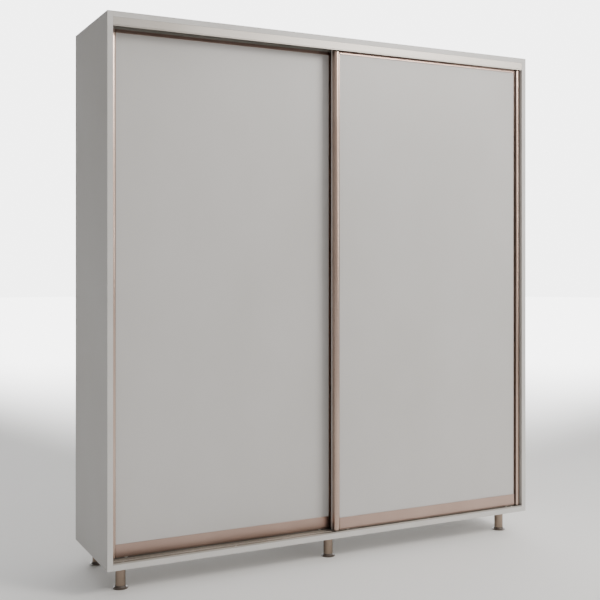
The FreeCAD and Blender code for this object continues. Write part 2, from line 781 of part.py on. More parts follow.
def door_fixings(door, start, lane):
    """Frame screws through the stiles into the rails' bosses, and a brush on each outer edge."""
    spots = []
    far_edge = f"{start} + door_width"
    for edge, inward, name in ((start, "+x", "left"), (far_edge, "-x", "right")):
        for z in ("bottom_screw_z", "top_screw_z"):
            seat = shift((edge, lane, z), inward, "slot_floor - frame_wall")
            outside = shift((edge, lane, z), OPPOSITE[inward], "overcut")
            access = "screw_head_radius + 2 * seat_gap"
            hole([f"{door}_{name}_stile"], outside, inward, access, "overcut + 2 * frame_wall")
            hole([f"{door}_{name}_stile"], shift(seat, OPPOSITE[inward], "overcut"), inward,
                 "frame_screw_radius + fit_gap", "frame_wall + 2 * overcut")
            spots.append((seat, inward))
    reach = "stile_width - slot_floor + frame_wall + frame_screw_reach"
    screws(door + "_frame_screws", spots, "screw_head_radius", "frame_screw_head",
           "frame_screw_radius", reach)
    thick = "(door_gap - brush_clearance)"
    brushes = []
    for tag, x in (("left", f"{start} - {thick}"), ("right", far_edge)):
        corner = (x, f"{lane} + frame_half - brush_back - brush_width", "door_foot")
        brushes.append(block(f"{door}_brush_{tag}", corner, (thick, "brush_width", "door_height")))
    grouped(door + "_brush_seals", brushes)


def roller(name, x, lane):
    """Grooved wheel that straddles the running rib; it turns about an axis along Y."""
    bore = "axle_radius + running_gap"
    half = "roller_width / 2"
    hub = "axle_radius + roller_hub_wall"
    rim = "roller_tread - roller_rim_wall"
    recess = f"{half} - roller_recess"
    right_half = [
        (bore, half), (hub, half), (f"{hub} + roller_slope", recess), (f"{rim} - roller_slope", recess),
        (rim, half), ("roller_radius", half), ("roller_radius", recess),
        ("roller_tread", "running_rib / 2 + tread_clearance"),
    ]
    left_half = [(r, f"0 - ({y})") for r, y in reversed(right_half)]
    body = turned(name, "XY_Plane", right_half + left_half)
    node(place(body, (x, lane, "roller_z")))


def roller_bracket(name, x, lane):
    """A block in the bottom rail's channel, with a window for its wheel and a plain axle."""
    half = "(rail_half - frame_wall - fit_gap)"
    window_half = "(roller_width / 2 + window_clearance)"
    z = "door_foot + bracket_lift"
    body = block(name + "_block", (f"{x} - bracket_length / 2", f"{lane} - {half}", z),
                 ("bracket_length", f"2 * {half}", "bracket_height"))
    window_corner = (f"{x} - bracket_window / 2", f"{lane} - {window_half}", f"{z} - overcut")
    window = block(name + "_window", window_corner,
                   ("bracket_window", f"2 * {window_half}", "bracket_height + 2 * overcut"))
    axle_start = (x, f"{lane} - {half}", "roller_z")
    bore = rod(name + "_bore", axle_start, "+y", "axle_radius + running_gap", f"2 * {half}")
    axle = rod(name + "_axle", axle_start, "+y", "axle_radius", f"2 * {half}")
    return [cut(name, body, [window, bore]), axle]


def guide_wheel(name, x, lane):
    """Plain wheel in the head track's channel; it turns about an upright axle."""
    bore = "guide_axle_radius + running_gap"
    rim = "guide_radius - guide_rim_wall"
    hub = "guide_axle_radius + guide_hub_wall"
    lower_half = [
        ("guide_radius", "guide_recess"), ("guide_radius - guide_recess", "0"), (rim, "0"),
        (f"{rim} - guide_slope", "guide_recess"), (f"{hub} + guide_slope", "guide_recess"),
        (hub, "0"), (bore, "0"),
    ]
    upper_half = [(r, f"guide_width - {z}") for r, z in reversed(lower_half)]
    body = turned(name, "XZ_Plane", lower_half + upper_half)
    node(place(body, (x, lane, "guide_z")))


def guide_bracket(name, x, lane):
    """A plate on the top rail and a shouldered axle with a head that keeps the wheel on."""
    plate = block(name + "_plate", (f"{x} - bracket_length / 2", f"{lane} - rail_half", "door_head"),
                  ("bracket_length", "rail_depth", "guide_plate"))
    seat = (x, lane, "door_head + guide_plate")
    reach = "guide_collar + guide_width + 2 * seat_gap"
    collar = rod(name + "_collar", seat, "+z", "guide_axle_head", "guide_collar")
    shaft = rod(name + "_shaft", seat, "+z", "guide_axle_radius", f"{reach} + guide_crown_overlap")
    head = rod(name + "_head", shift(seat, "+z", reach), "+z", "guide_axle_head", "guide_axle_crown")
    return [plate, fused(name + "_axle", [collar, shaft, head])]


def door(name, start, lane):
    """One sliding door with its frame, running gear and seals."""
    far_edge = f"{start} + door_width"
    stile(name + "_left_stile", start, lane, 1)
    stile(name + "_right_stile", far_edge, lane, -1)
    door_rails(name, start, lane)
    door_panel(name, start, lane)
    door_fixings(name, start, lane)
    rollers = []
    guides = []
    for tag, x in (("left", f"{start} + wheel_inset"), ("right", f"{far_edge} - wheel_inset")):
        roller(f"{name}_roller_{tag}", x, lane)
        guide_wheel(f"{name}_guide_wheel_{tag}", x, lane)
        rollers += roller_bracket(f"{name}_roller_bracket_{tag}", x, lane)
        guides += guide_bracket(f"{name}_guide_bracket_{tag}", x, lane)
    grouped(name + "_roller_brackets", rollers)
    grouped(name + "_guide_brackets", guides)


# ---------------------------------------------------------------- legs

def leg(name, x, y):
    """Mounting plate, tube and threaded end, welded into one piece."""
    bore = "stud_radius + running_gap"
    inner = "tube_radius - tube_wall"
    shoulder = "leg_height - leg_plate"
    half_section = [
        (bore, "leg_foot"), ("tube_radius", "leg_foot"), ("tube_radius", shoulder),
        ("leg_plate_radius", shoulder), ("leg_plate_radius", "leg_height"), ("0", "leg_height"),
        ("0", shoulder), (inner, shoulder), (inner, "leg_foot + insert_height"),
        (bore, "leg_foot + insert_height"),
    ]
    blank(name, place(turned(name + "_body", "XZ_Plane", half_section), (x, y, "0")))


def foot(name, x, y):
    """Levelling foot: a flared disc with a stud that screws into the leg."""
    half_section = [
        ("0", "0"), ("foot_radius - foot_chamfer", "0"), ("foot_radius", "foot_chamfer"),
        ("foot_radius", "foot_rim", "foot_flare", -1), ("tube_radius", "foot_height"),
        ("stud_radius", "foot_height"), ("stud_radius", "foot_height + stud_length"),
        ("0", "foot_height + stud_length"),
    ]
    node(place(turned(name, "XZ_Plane", half_section), (x, y, "0")))


def legs_and_feet():
    """Six legs in two rows, each on a levelling foot and four screws."""
    reach = "leg_bolt_circle * sqrt(0.5)"
    spots = []
    for row, y in (("front", "front_leg_y"), ("rear", "rear_leg_y")):
        for tag, x in (("left", "0 - leg_x"), ("centre", "0"), ("right", "leg_x")):
            leg(f"{row}_{tag}_leg", x, y)
            foot(f"{row}_{tag}_foot", x, y)
            for sign_x in ("+", "-"):
                for sign_y in ("+", "-"):
                    point = (f"{x} {sign_x} {reach}", f"{y} {sign_y} {reach}", "leg_height - leg_plate")
                    spots.append((point, "+z"))
                    hole([f"{row}_{tag}_leg", "bottom_panel"], point, "+z",
                         "leg_screw_radius + fit_gap", "leg_plate + leg_screw_reach + fit_gap")
    screws("leg_screws", spots, "leg_screw_head_radius", "leg_screw_head", "leg_screw_radius",
           "leg_plate + leg_screw_reach")


# ---------------------------------------------------------------- build, check, write

def check_document():
    """Stop if any object failed, or if a sub-part has no valid solid."""
    for thing in DOC.Objects:
        if "Invalid" in thing.State or "Error" in thing.State:
            raise RuntimeError(f"{thing.Name} failed: {thing.State}")
    for thing in NODES:
        shape = thing.Shape
        if shape.isNull() or not shape.isValid() or not shape.Solids:
            raise RuntimeError(f"{thing.Label} has no valid solid")


def write_parts():
    """Write each sub-part to parts/, under its label."""
    os.makedirs("parts", exist_ok=True)
    for thing in NODES:
        thing.Shape.exportStep(f"parts/{thing.Label}.step")
        print(f"{thing.Label}: {len(thing.Shape.Solids)} solids, {thing.Shape.Volume / 1000:.1f} cm3")
    print(f"{len(NODES)} sub-parts, door travel {value('door_travel')} mm")


fill_sheet()
carcass_boards()
back_screws()
cam_fittings()
shelves()
hanging_rail()
top_track()
bottom_track()
track_fixings()
for door_name, (door_start, door_lane) in DOORS.items():
    door(door_name, door_start, door_lane)
legs_and_feet()
finish_blanks()
DOC.recompute()
check_document()
write_parts()
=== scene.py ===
import json
import math

import bmesh
import bpy
from mathutils import Euler, Matrix, Vector


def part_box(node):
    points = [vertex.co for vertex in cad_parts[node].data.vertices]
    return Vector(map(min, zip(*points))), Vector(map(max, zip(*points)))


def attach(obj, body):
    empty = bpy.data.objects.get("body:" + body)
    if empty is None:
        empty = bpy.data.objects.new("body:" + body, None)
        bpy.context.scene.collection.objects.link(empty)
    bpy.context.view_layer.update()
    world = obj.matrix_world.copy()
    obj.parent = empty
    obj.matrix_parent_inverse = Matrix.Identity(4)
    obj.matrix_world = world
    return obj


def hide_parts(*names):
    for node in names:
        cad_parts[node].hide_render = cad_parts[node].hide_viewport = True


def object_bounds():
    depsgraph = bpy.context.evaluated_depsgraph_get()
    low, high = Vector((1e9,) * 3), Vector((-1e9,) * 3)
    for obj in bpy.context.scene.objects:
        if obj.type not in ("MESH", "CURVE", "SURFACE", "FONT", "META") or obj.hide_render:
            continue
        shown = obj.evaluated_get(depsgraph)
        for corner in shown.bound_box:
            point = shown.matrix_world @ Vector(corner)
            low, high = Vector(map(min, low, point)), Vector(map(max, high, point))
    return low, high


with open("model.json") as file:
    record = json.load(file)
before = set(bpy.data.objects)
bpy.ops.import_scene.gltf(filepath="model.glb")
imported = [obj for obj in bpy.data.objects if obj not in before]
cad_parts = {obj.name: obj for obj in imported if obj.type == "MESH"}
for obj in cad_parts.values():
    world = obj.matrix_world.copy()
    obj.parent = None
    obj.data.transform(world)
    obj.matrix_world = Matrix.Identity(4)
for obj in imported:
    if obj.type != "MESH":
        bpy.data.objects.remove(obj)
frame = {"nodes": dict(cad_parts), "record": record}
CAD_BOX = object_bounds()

# A sliding door wardrobe: melamine-faced boards, a double aluminium track, two framed doors that
# run on grooved nylon rollers, and six levelling feet. Metres, +Z up, the doors face -Y.

MM = 0.001
BEHAVIOUR = frame["record"]["behaviour"]
BODY_OF = {node: body for body, nodes in BEHAVIOUR["bodies"].items() for node in nodes}
DOORS = ("left_door", "right_door")
SIDES = ("left", "right")
SEED = 11

# Sizes that the frame doesn't give
BOARD_EASE = 0.6 * MM         # the rounded edge that a milling head leaves on a banded board
SECTION_EASE = 0.25 * MM      # the corner radius of an aluminium extrusion
PRESSED_EASE = 0.4 * MM       # the corner radius of pressed and die-cast hardware
SCREW_HEAD = 1.6 * MM
SUNK_HEAD = 2.0 * MM
FRAME_SCREW_HEAD = 2.8 * MM
LEG_SCREW_HEAD = 2.5 * MM
CAM_EASE = 0.5 * MM
CAM_SLOT = (4.2 * MM, 0.9 * MM, 2.4 * MM)       # arm, half width and depth of a cam's cross slot
RAIL_WALL = 1.5 * MM
SOCKET_FLANGE = 4 * MM
SOCKET_WALL = 2.7 * MM
STOP_PAD = 5 * MM             # the rubber pad on the end of a track stop
LEG_TUBE = 20 * MM            # radius
LEG_WALL = 1.5 * MM
LEG_PLATE = 2.5 * MM
LEG_END = 12 * MM             # the threaded end's thickness
LEG_BORE = 5.05 * MM          # the radius of its thread, which the foot's stud runs in
FOOT_HEIGHT = 12 * MM
FOOT_RIM = 2.4 * MM
FOOT_FLARE = 9 * MM
FOOT_STUD = 5 * MM            # radius
BRUSH_BACKING = 0.5 * MM
ROLLER_RIM = 15 * MM
ROLLER_TREAD = 12 * MM
ROLLER_BORE = 2.55 * MM
ROLLER_DISH = 0.8 * MM        # how deep a roller's side is dished between hub and rim
GUIDE_BORE = 2.05 * MM
GUIDE_DISH = 0.6 * MM

# The studio: plain numbers for radiance, level directions, and metres
BACKDROP = 5.0
ROOM = 0.8
AWAY_FROM_CAMERA = (0.452, 0.892, 0.0)
DARK_SIDE = (-0.88, 0.47, 0.0)
CAMERA_PLACE = (-2.015, -3.857, 1.280)
CAMERA_HEADING = 26.85        # degrees to the right of straight ahead
CAMERA_LENS = 58.62
CAMERA_SHIFT = -0.068


# ---------------------------------------------------------------- materials

def linear(code):
    """An sRGB hex colour as linear RGBA."""
    channels = [int(code[i:i + 2], 16) / 255 for i in (1, 3, 5)]
    values = [c / 12.92 if c <= 0.04045 else ((c + 0.055) / 1.055) ** 2.4 for c in channels]
    return (*values, 1.0)


def add_node(tree, kind, settings=None, inputs=None, links=None):
    """Adds one node: its settings, its input values, and links from (node, output) pairs."""
    made = tree.nodes.new(kind)
    for key, value in (settings or {}).items():
        setattr(made, key, value)
    for key, value in (inputs or {}).items():
        made.inputs[key].default_value = value
    for key, (source, output) in (links or {}).items():
        tree.links.new(source.outputs[output], made.inputs[key])
    return made


def new_material(name, **values):
    """A material with one Principled shader whose uniform values are set on its own sockets."""
    material = bpy.data.materials.new(name)
    material.use_nodes = True
    shader = material.node_tree.nodes["Principled BSDF"]
    for key, value in values.items():
        shader.inputs[key.replace("_", " ")].default_value = value
    return material, material.node_tree, shader


def stretched_noise(tree, spacing, detail=2.0):
    """Noise on object coordinates whose grain measures spacing = (x, y, z) metres."""
    place = add_node(tree, "ShaderNodeTexCoord")
    scale = tuple(1.0 / size for size in spacing)
    mapping = add_node(tree, "ShaderNodeMapping", inputs={"Scale": scale},
                       links={"Vector": (place, "Object")})
    values = {"Scale": 1.0, "Detail": detail, "Roughness": 0.5}
    return add_node(tree, "ShaderNodeTexNoise", inputs=values, links={"Vector": (mapping, "Vector")})


def ramp(tree, source, output, stops):
    """A colour ramp with its stops given as (position, colour)."""
    made = add_node(tree, "ShaderNodeValToRGB", links={"Fac": (source, output)})
    elements = made.color_ramp.elements
    while len(elements) < len(stops):
        elements.new(0.5)
    for element, (position, colour) in zip(elements, stops):
        element.position = position
        element.color = colour
    return made


def spread(tree, source, output, low, high):
    """Maps a 0.3 to 0.7 pattern onto low to high."""
    values = {"From Min": 0.3, "From Max": 0.7, "To Min": low, "To Max": high}
    return add_node(tree, "ShaderNodeMapRange", inputs=values, links={"Value": (source, output)})


def bump(tree, shader, source, output, height, strength):
    """Bump of that real height in metres from a 0 to 1 pattern."""
    values = {"Strength": strength, "Distance": height}
    made = add_node(tree, "ShaderNodeBump", inputs=values, links={"Height": (source, output)})
    tree.links.new(made.outputs["Normal"], shader.inputs["Normal"])
    return made


def dress(tree, shader, tone, dark, light, texture, gloss, relief=None, margin=0.3):
    """Colour from the tone pattern; roughness, gloss = (low, high), from the texture pattern, and
    its relief = (height in metres, strength)."""
    tint = ramp(tree, tone, "Fac", [(margin, linear(dark)), (1 - margin, linear(light))])
    tree.links.new(tint.outputs["Color"], shader.inputs["Base Color"])
    if gloss:
        sheen = spread(tree, texture, "Fac", *gloss)
        tree.links.new(sheen.outputs["Result"], shader.inputs["Roughness"])
    if relief:
        bump(tree, shader, texture, "Fac", *relief)


def melamine(name, light, dark, gloss):
    """Melamine-faced board: a printed paper under clear resin, pressed on a fine pearl plate.
    It looks smooth and satin, with a fine even tooth and a barely cloudy print."""
    material, tree, shader = new_material(name, IOR=1.5)
    cloud = stretched_noise(tree, (0.35, 0.35, 0.5), detail=3.0)
    # the pearl tooth is 0.3 mm across and is drawn at 1.5 mm, so that it shows
    tooth = stretched_noise(tree, (1.5 * MM, 1.5 * MM, 1.5 * MM), detail=1.0)
    dress(tree, shader, cloud, dark, light, tooth, (gloss - 0.03, gloss + 0.04), (0.04 * MM, 0.35))
    return material


def abs_edge_band(name, light, dark):
    """Extruded ABS edging, 1 mm thick, milled flush: a little glossier than the board's face,
    with an even colour and a fine embossed tooth."""
    material, tree, shader = new_material(name, IOR=1.46)
    cloud = stretched_noise(tree, (0.12, 0.12, 0.12), detail=2.0)
    tooth = stretched_noise(tree, (1.2 * MM, 1.2 * MM, 1.2 * MM), detail=1.0)
    dress(tree, shader, cloud, dark, light, tooth, (0.3, 0.38), (0.03 * MM, 0.3))
    return material


def chipboard(name):
    """Raw chipboard core, seen in bores and on unbanded edges: pressed wood flakes 1 to 4 mm
    long in several browns, dull and open."""
    material, tree, shader = new_material(name, IOR=1.45, Roughness=0.85)
    place = add_node(tree, "ShaderNodeTexCoord")
    scale = (1 / (3.5 * MM), 1 / (1.6 * MM), 1 / (2.4 * MM))
    mapping = add_node(tree, "ShaderNodeMapping", inputs={"Scale": scale},
                       links={"Vector": (place, "Object")})
    flakes = add_node(tree, "ShaderNodeTexVoronoi", inputs={"Scale": 1.0},
                      links={"Vector": (mapping, "Vector")})
    tint = ramp(tree, flakes, "Color", [(0.1, linear("#7A6244")), (0.5, linear("#B0936A")),
                                        (0.9, linear("#CDB58D"))])
    tree.links.new(tint.outputs["Color"], shader.inputs["Base Color"])
    bump(tree, shader, flakes, "Distance", 0.3 * MM, 0.6)
    return material


def painted_hardboard(name):
    """Hardboard back, 4 mm, rolled with a thin pale grey coat: flat, with wood fibres faintly
    showing through."""
    material, tree, shader = new_material(name, IOR=1.45)
    fibres = stretched_noise(tree, (1.6 * MM, 4.0 * MM, 7.0 * MM), detail=3.0)
    dress(tree, shader, fibres, "#A9A49E", "#B7B3AD", fibres, (0.55, 0.68), (0.05 * MM, 0.4))
    return material


def anodised(name, light, dark, gloss, grain):
    """Anodised aluminium extrusion: a satin metal with fine die lines drawn along its length,
    grain = (x, y, z) metres, and a faintly uneven dye."""
    material, tree, shader = new_material(name, Metallic=1.0)
    dye = stretched_noise(tree, (0.3, 0.3, 0.3), detail=2.0)
    lines = stretched_noise(tree, grain, detail=2.0)
    dress(tree, shader, dye, dark, light, lines, (gloss - 0.02, gloss + 0.04), (0.01 * MM, 0.15),
          margin=0.25)
    return material


def nickel_tube(name):
    """Steel tube with brushed warm nickel plating: the brushing runs round it, and the plating
    is a little dull in places."""
    material, tree, shader = new_material(name, Metallic=1.0)
    rings = stretched_noise(tree, (0.2, 0.2, 0.5 * MM), detail=3.0)
    dress(tree, shader, rings, "#928275", "#9B8B7D", rings, (0.28, 0.32), (0.01 * MM, 0.06))
    return material


def moulded_plastic(name, light, dark, gloss):
    """A moulded plastic: an even colour under a fine spark-eroded texture, half matt."""
    material, tree, shader = new_material(name, IOR=1.53)
    grain = stretched_noise(tree, (0.8 * MM, 0.8 * MM, 0.8 * MM), detail=2.0)
    dress(tree, shader, grain, dark, light, grain, (gloss - 0.04, gloss + 0.06), (0.05 * MM, 0.4))
    return material


def zinc_plate(name, light, dark, gloss):
    """Zinc plated steel: a grey metal with a faint cloudy passivation."""
    material, tree, shader = new_material(name, Metallic=1.0)
    cloud = stretched_noise(tree, (6 * MM, 6 * MM, 6 * MM), detail=4.0)
    dress(tree, shader, cloud, dark, light, cloud, (gloss - 0.05, gloss + 0.1), (0.02 * MM, 0.2))
    return material


def chrome_tube(name):
    """Chromed steel tube: a bright mirror finish with hairline wear along it from the hangers."""
    material, tree, shader = new_material(name, Metallic=1.0)
    wear = stretched_noise(tree, (60 * MM, 0.5 * MM, 0.5 * MM), detail=2.0)
    dress(tree, shader, wear, "#C4C6C8", "#D4D5D6", wear, (0.06, 0.16))
    return material


def pile(name):
    """Polypropylene brush pile: thousands of dull pale grey filaments."""
    material, tree, shader = new_material(name, IOR=1.49, Roughness=0.8, Sheen_Weight=0.3)
    tufts = stretched_noise(tree, (2 * MM, 2 * MM, 3 * MM), detail=2.0)
    dress(tree, shader, tufts, "#928B82", "#B3ACA2", tufts, None)
    return material


MELAMINE = melamine("melamine_warm_grey", "#BFBDBA", "#BAB7B3", 0.42)
DOOR_MELAMINE = melamine("melamine_door_panel", "#C0BEBC", "#BBB9B6", 0.38)
EDGE_BAND = abs_edge_band("abs_edge_band", "#C9C7C4", "#C2C0BC")
CORE = chipboard("chipboard_core")
HARDBOARD = painted_hardboard("painted_hardboard")
STILE_METAL = anodised("anodised_champagne_stile", "#BFA99D", "#B19A8D", 0.27,
                       (0.9 * MM, 0.9 * MM, 0.9))
RAIL_METAL = anodised("anodised_champagne_rail", "#B9A196", "#AA9186", 0.3, (0.9, 0.9 * MM, 0.9 * MM))
TRACK_METAL = anodised("anodised_track", "#B2AEA8", "#A6A19A", 0.44, (0.9, 0.9 * MM, 0.9 * MM))
# the floor track's lanes, darker than the track itself: painted shade for the shadow between its lips
SHADED_LANE_METAL = anodised("painted_shade_track_lane", "#9E9890", "#88827A", 0.5, (0.6, 3 * MM, 3 * MM))
LEG_METAL = nickel_tube("brushed_nickel_tube")
FOOT_PLASTIC = moulded_plastic("moulded_foot_abs", "#5D534C", "#50473F", 0.32)
BRACKET_ZINC = zinc_plate("zinc_plated_bracket", "#C9CACA", "#B4B6B8", 0.35)
SCREW_ZINC = zinc_plate("zinc_plated_screw", "#D2D0CA", "#BDBBB6", 0.28)
CAM_ZINC = zinc_plate("zinc_die_casting", "#B9B8B4", "#A4A39F", 0.45)
RAIL_CHROME = chrome_tube("chromed_tube")
NYLON = moulded_plastic("moulded_nylon", "#E4E2DB", "#DBD8CF", 0.34)
RUBBER = moulded_plastic("moulded_rubber", "#3E3B38", "#33312F", 0.6)
PILE = pile("polypropylene_pile")


# ---------------------------------------------------------------- meshes

def add_piece(name, mesh, materials):
    """A new object at the origin with its materials."""
    piece = bpy.data.objects.new(name, mesh)
    bpy.context.scene.collection.objects.link(piece)
    for material in materials:
        mesh.materials.append(material)
    return piece


def settle(piece, *nodes):
    """The piece stands for these nodes and rides on their body, and the nodes themselves are hidden.
    """
    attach(piece, BODY_OF[nodes[0]])
    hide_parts(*nodes)
    return piece


def mesh_of(bm, name):
    """The finished bmesh as mesh data."""
    mesh = bpy.data.meshes.new(name)
    bm.to_mesh(mesh)
    bm.free()
    return mesh


def corners(node):
    """The low and high corners of a CAD node's box as vectors."""
    return [Vector(corner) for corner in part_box(node)]


def merged_copy(node):
    """A CAD node's mesh as a bmesh with its triangles joined up."""
    bm = bmesh.new()
    bm.from_mesh(frame["nodes"][node].data)
    bmesh.ops.remove_doubles(bm, verts=bm.verts, dist=0.005 * MM)
    return bm


def islands(node):
    """The (low, high) corners of each separate solid in a CAD node."""
    bm = merged_copy(node)
    left = set(bm.verts)
    boxes = []
    while left:
        stack = [left.pop()]
        found = list(stack)
        while stack:
            for edge in stack.pop().link_edges:
                for vert in edge.verts:
                    if vert in left:
                        left.remove(vert)
                        stack.append(vert)
                        found.append(vert)
        low = Vector([min(v.co[i] for v in found) for i in range(3)])
        high = Vector([max(v.co[i] for v in found) for i in range(3)])
        boxes.append((low, high))
    bm.free()
    return sorted(boxes, key=lambda box: tuple(round(c, 5) for c in box[0]))


def mark_sharp(bm, eased, limit=math.radians(28)):
    """Smooth faces, parted at sharp edges and where an eased edge meets a flat face."""
    for face in bm.faces:
        face.smooth = True
    for edge in bm.edges:
        if len(edge.link_faces) != 2:
            edge.smooth = False
            continue
        mixed = (edge.link_faces[0] in eased) != (edge.link_faces[1] in eased)
        edge.smooth = not mixed and edge.calc_face_angle(0) < limit


def is_border(edge, low, high):
    """True for an edge that runs along a border of the node's own box."""
    shared = 0
    for axis in range(3):
        values = [vert.co[axis] for vert in edge.verts]
        for side in (low[axis], high[axis]):
            shared += all(abs(value - side) < 0.02 * MM for value in values)
    return shared >= 2


def is_long(edge, low, high):
    """True for a sharp edge that runs more than half the node's length."""
    length = max(high[i] - low[i] for i in range(3))
    return edge.calc_length() > 0.5 * length and edge.calc_face_angle(0) > math.radians(28)


def eased(node, name, radius, wanted, materials, face_material=None):
    """A CAD node's own shape with its borders or its long edges rounded by that radius."""
    low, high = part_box(node)
    bm = merged_copy(node)
    edges = [edge for edge in bm.edges if len(edge.link_faces) == 2 and wanted(edge, low, high)]
    made = bmesh.ops.bevel(bm, geom=edges, offset=radius, offset_type="OFFSET", segments=3,
                           profile=0.5, affect="EDGES", clamp_overlap=True)
    bmesh.ops.dissolve_degenerate(bm, dist=0.01 * MM, edges=bm.edges)
    bm.normal_update()
    mark_sharp(bm, {face for face in made["faces"] if face.is_valid})
    if face_material:
        for face in bm.faces:
            face.material_index = face_material(face, low, high)
    return settle(add_piece(name, mesh_of(bm, name), materials), node)


def rounded(points, radius, steps=3, closed=False):
    """The outline with each corner turned into a short arc."""
    made = []
    count = len(points)
    for index, point in enumerate(points):
        if not closed and index in (0, count - 1):
            made.append(point)
            continue
        here = Vector(point)
        back = Vector(points[index - 1]) - here
        ahead = Vector(points[(index + 1) % count]) - here
        if back.angle(ahead) > math.radians(165):
            made.append(point)
            continue
        reach = min(radius, 0.45 * back.length, 0.45 * ahead.length)
        start = here + back.normalized() * reach
        end = here + ahead.normalized() * reach
        for step in range(steps + 1):
            t = step / steps
            spot = start * (1 - t) ** 2 + here * 2 * t * (1 - t) + end * t ** 2
            made.append(tuple(spot))
    return made


def turn_about(axis, centre):
    """The matrix that takes a shape turned about +Z to that axis and place."""
    turns = {"x": Euler((0, math.pi / 2, 0)), "y": Euler((-math.pi / 2, 0, 0)), "z": Euler((0, 0, 0))}
    return Matrix.Translation(Vector(centre)) @ turns[axis].to_matrix().to_4x4()


def lathe(bm, profile, matrix, segments=64, closed=False, material=0):
    """Turns (radius, height) points about +Z into faces that point outwards."""
    rings = []
    for radius, height in profile:
        if radius < 1e-7:
            rings.append([bm.verts.new(matrix @ Vector((0, 0, height)))])
            continue
        angles = (2 * math.pi * step / segments for step in range(segments))
        ring = [matrix @ Vector((radius * math.cos(a), radius * math.sin(a), height)) for a in angles]
        rings.append([bm.verts.new(place) for place in ring])
    pairs = list(zip(rings, rings[1:] + rings[:1])) if closed else list(zip(rings, rings[1:]))
    faces = []
    for lower, upper in pairs:
        for step in range(segments):
            after = (step + 1) % segments
            if len(lower) == 1 and len(upper) == 1:
                continue
            if len(lower) == 1:
                corners = (lower[0], upper[after], upper[step])
            elif len(upper) == 1:
                corners = (lower[step], lower[after], upper[0])
            else:
                corners = (lower[step], lower[after], upper[after], upper[step])
            face = bm.faces.new(corners)
            face.material_index = material
            faces.append(face)
    return faces


def turned_piece(name, parts, materials, segments=64):
    """One object from several turned shapes: (profile, matrix, closed, material index)."""
    bm = bmesh.new()
    for profile, matrix, closed, material in parts:
        faces = lathe(bm, profile, matrix, segments, closed, material)
        bmesh.ops.recalc_face_normals(bm, faces=faces)
    bm.normal_update()
    mark_sharp(bm, set(), math.radians(32))
    return add_piece(name, mesh_of(bm, name), materials)


def block_mesh(bm, low, high, radius, material=0):
    """A block with rounded edges, added to the bmesh."""
    made = bmesh.ops.create_cube(bm, size=1.0)
    verts = made["verts"]
    for vert in verts:
        vert.co = Vector([low[i] if vert.co[i] < 0 else high[i] for i in range(3)])
    edges = list({edge for vert in verts for edge in vert.link_edges})
    result = bmesh.ops.bevel(bm, geom=edges, offset=radius, offset_type="OFFSET", segments=2,
                             profile=0.5, affect="EDGES", clamp_overlap=True)
    for face in {face for vert in result["verts"] for face in vert.link_faces}:
        face.material_index = material


# ---------------------------------------------------------------- what repeats: geometry nodes

def new_tree(name, sockets):
    """A geometry node tree with Geometry in and out and the named inputs (name, type, default)."""
    tree = bpy.data.node_groups.new(name, "GeometryNodeTree")
    tree.interface.new_socket("Geometry", in_out="INPUT", socket_type="NodeSocketGeometry")
    for label, kind, default in sockets:
        socket = tree.interface.new_socket(label, in_out="INPUT", socket_type=kind)
        if default is not None:
            socket.default_value = default
    tree.interface.new_socket("Geometry", in_out="OUTPUT", socket_type="NodeSocketGeometry")
    return tree, add_node(tree, "NodeGroupInput"), add_node(tree, "NodeGroupOutput")


def grown(name, base_mesh, tree, values):
    """Runs a geometry node tree on a mesh and returns the result as a plain object."""
    carrier = bpy.data.objects.new(name + "_carrier", base_mesh)
    bpy.context.scene.collection.objects.link(carrier)
    modifier = carrier.modifiers.new("grow", "NODES")
    modifier.node_group = tree
    for item in tree.interface.items_tree:
        if item.in_out == "INPUT" and item.name in values:
            modifier[item.identifier] = values[item.name]
    bpy.context.view_layer.update()
    evaluated = carrier.evaluated_get(bpy.context.evaluated_depsgraph_get())
    mesh = bpy.data.meshes.new_from_object(evaluated)
    bpy.data.objects.remove(carrier)
    piece = bpy.data.objects.new(name, mesh)
    bpy.context.scene.collection.objects.link(piece)
    return piece


def fastener_tree():
    """Sets one fastener on each point, along the point's own direction, at a random turn."""
    sockets = [("Fastener", "NodeSocketObject", None), ("Seed", "NodeSocketInt", SEED),
               ("Size", "NodeSocketFloat", 1.0), ("Finish", "NodeSocketMaterial", None)]
    tree, given, result = new_tree("set_fasteners", sockets)
    facing = add_node(tree, "GeometryNodeInputNamedAttribute", {"data_type": "FLOAT_VECTOR"},
                      {"Name": "facing"})
    aim = add_node(tree, "FunctionNodeAlignRotationToVector", {"axis": "Z"},
                   links={"Vector": (facing, "Attribute")})
    fastener = add_node(tree, "GeometryNodeObjectInfo", inputs={"As Instance": True},
                        links={"Object": (given, "Fastener")})
    placed = add_node(tree, "GeometryNodeInstanceOnPoints",
                      links={"Points": (given, "Geometry"), "Instance": (fastener, "Geometry"),
                             "Rotation": (aim, "Rotation"), "Scale": (given, "Size")})
    spin = add_node(tree, "FunctionNodeRandomValue", {"data_type": "FLOAT"},
                    {"Min": 0.0, "Max": 2 * math.pi}, {"Seed": (given, "Seed")})
    spin_vector = add_node(tree, "ShaderNodeCombineXYZ", links={"Z": (spin, "Value")})
    turn = add_node(tree, "FunctionNodeEulerToRotation", links={"Euler": (spin_vector, "Vector")})
    turned = add_node(tree, "GeometryNodeRotateInstances", inputs={"Local Space": True},
                      links={"Instances": (placed, "Instances"), "Rotation": (turn, "Rotation")})
    solid = add_node(tree, "GeometryNodeRealizeInstances", links={"Geometry": (turned, "Instances")})
    finished = add_node(tree, "GeometryNodeSetMaterial",
                        links={"Geometry": (solid, "Geometry"), "Material": (given, "Finish")})
    tree.links.new(finished.outputs["Geometry"], result.inputs["Geometry"])
    return tree


